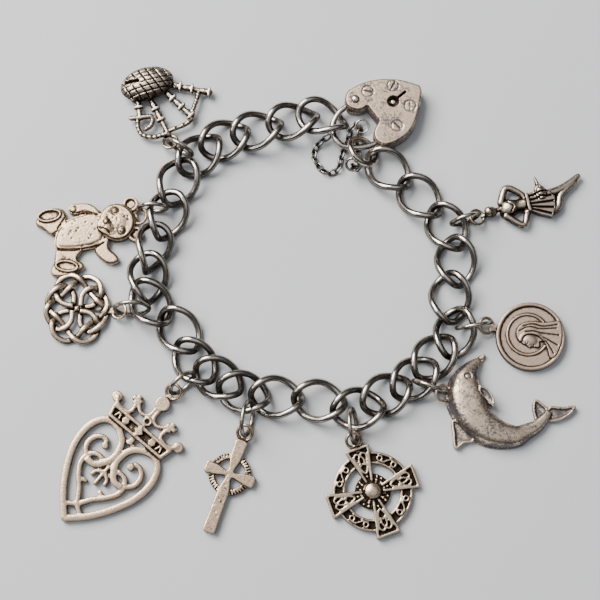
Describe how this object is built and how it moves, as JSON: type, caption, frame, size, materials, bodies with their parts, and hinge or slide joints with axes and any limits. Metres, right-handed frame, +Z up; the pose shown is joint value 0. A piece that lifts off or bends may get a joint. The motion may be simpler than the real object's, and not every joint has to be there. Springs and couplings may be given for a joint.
{
  "type": "charm bracelet",
  "caption": "Silver charm bracelet lying flat: curb chain with a heart padlock clasp, safety chain and hanging charms, among them a dolphin, a teddy bear and crosses.",
  "frame": {"origin": "middle of the bounding box, on the table that the bracelet lies on", "axes": "+X to the right and +Y to the top of the picture, +Z up from the table; the padlock is at +Y"},
  "size_m": [0.0862, 0.0752, 0.0059],
  "materials": {
    "wire_silver": "polished sterling silver wire with dark oxide in its hollows",
    "charm_silver": "worn sterling silver, bright on high spots and dark in the recesses",
    "dark_silver": "oxidised silver"
  },
  "bodies": {
    "bracelet": {"end_ring": "wire_silver", "chain_link_01": "wire_silver", "chain_link_02": "wire_silver", "chain_link_03": "wire_silver", "chain_link_04": "wire_silver", "chain_link_05": "wire_silver", "chain_link_06": "wire_silver", "chain_link_07": "wire_silver", "chain_link_08": "wire_silver", "chain_link_09": "wire_silver", "chain_link_10": "wire_silver", "chain_link_11": "wire_silver", "chain_link_12": "wire_silver", "chain_link_13": "wire_silver", "chain_link_14": "wire_silver", "chain_link_15": "wire_silver", "chain_link_16": "wire_silver", "chain_link_17": "wire_silver", "chain_link_18": "wire_silver", "chain_link_19": "wire_silver", "chain_link_20": "wire_silver", "chain_link_21": "wire_silver", "chain_link_22": "wire_silver", "chain_link_23": "wire_silver", "chain_link_24": "wire_silver", "chain_link_25": "wire_silver", "chain_link_26": "wire_silver", "jump_ring_dancer": "wire_silver", "charm_dancer": "charm_silver", "jump_ring_medal": "wire_silver", "charm_medal": "charm_silver", "jump_ring_dolphin": "wire_silver", "charm_dolphin": "charm_silver", "jump_ring_wheel_cross": "wire_silver", "charm_wheel_cross": "charm_silver", "jump_ring_plain_cross": "wire_silver", "charm_plain_cross": "charm_silver", "jump_ring_crowned_heart": "wire_silver", "charm_crowned_heart": "charm_silver", "jump_ring_knot_roundel": "wire_silver", "charm_knot_roundel": "charm_silver", "jump_ring_teddy_bear": "wire_silver", "charm_teddy_bear": "charm_silver", "jump_ring_bagpipes": "wire_silver", "charm_bagpipes": "charm_silver", "padlock_shackle": "wire_silver", "safety_chain": "dark_silver"},
    "padlock": {"padlock_body": "charm_silver", "padlock_rivet": "dark_silver"}
  },
  "joints": [
    {"name": "padlock_hinge", "type": "hinge", "parent": "bracelet", "child": "padlock", "pos_m": [0.00752, 0.03183, 0], "axis": [0, 0, 1], "range_deg": [0, 55]}
  ]
}
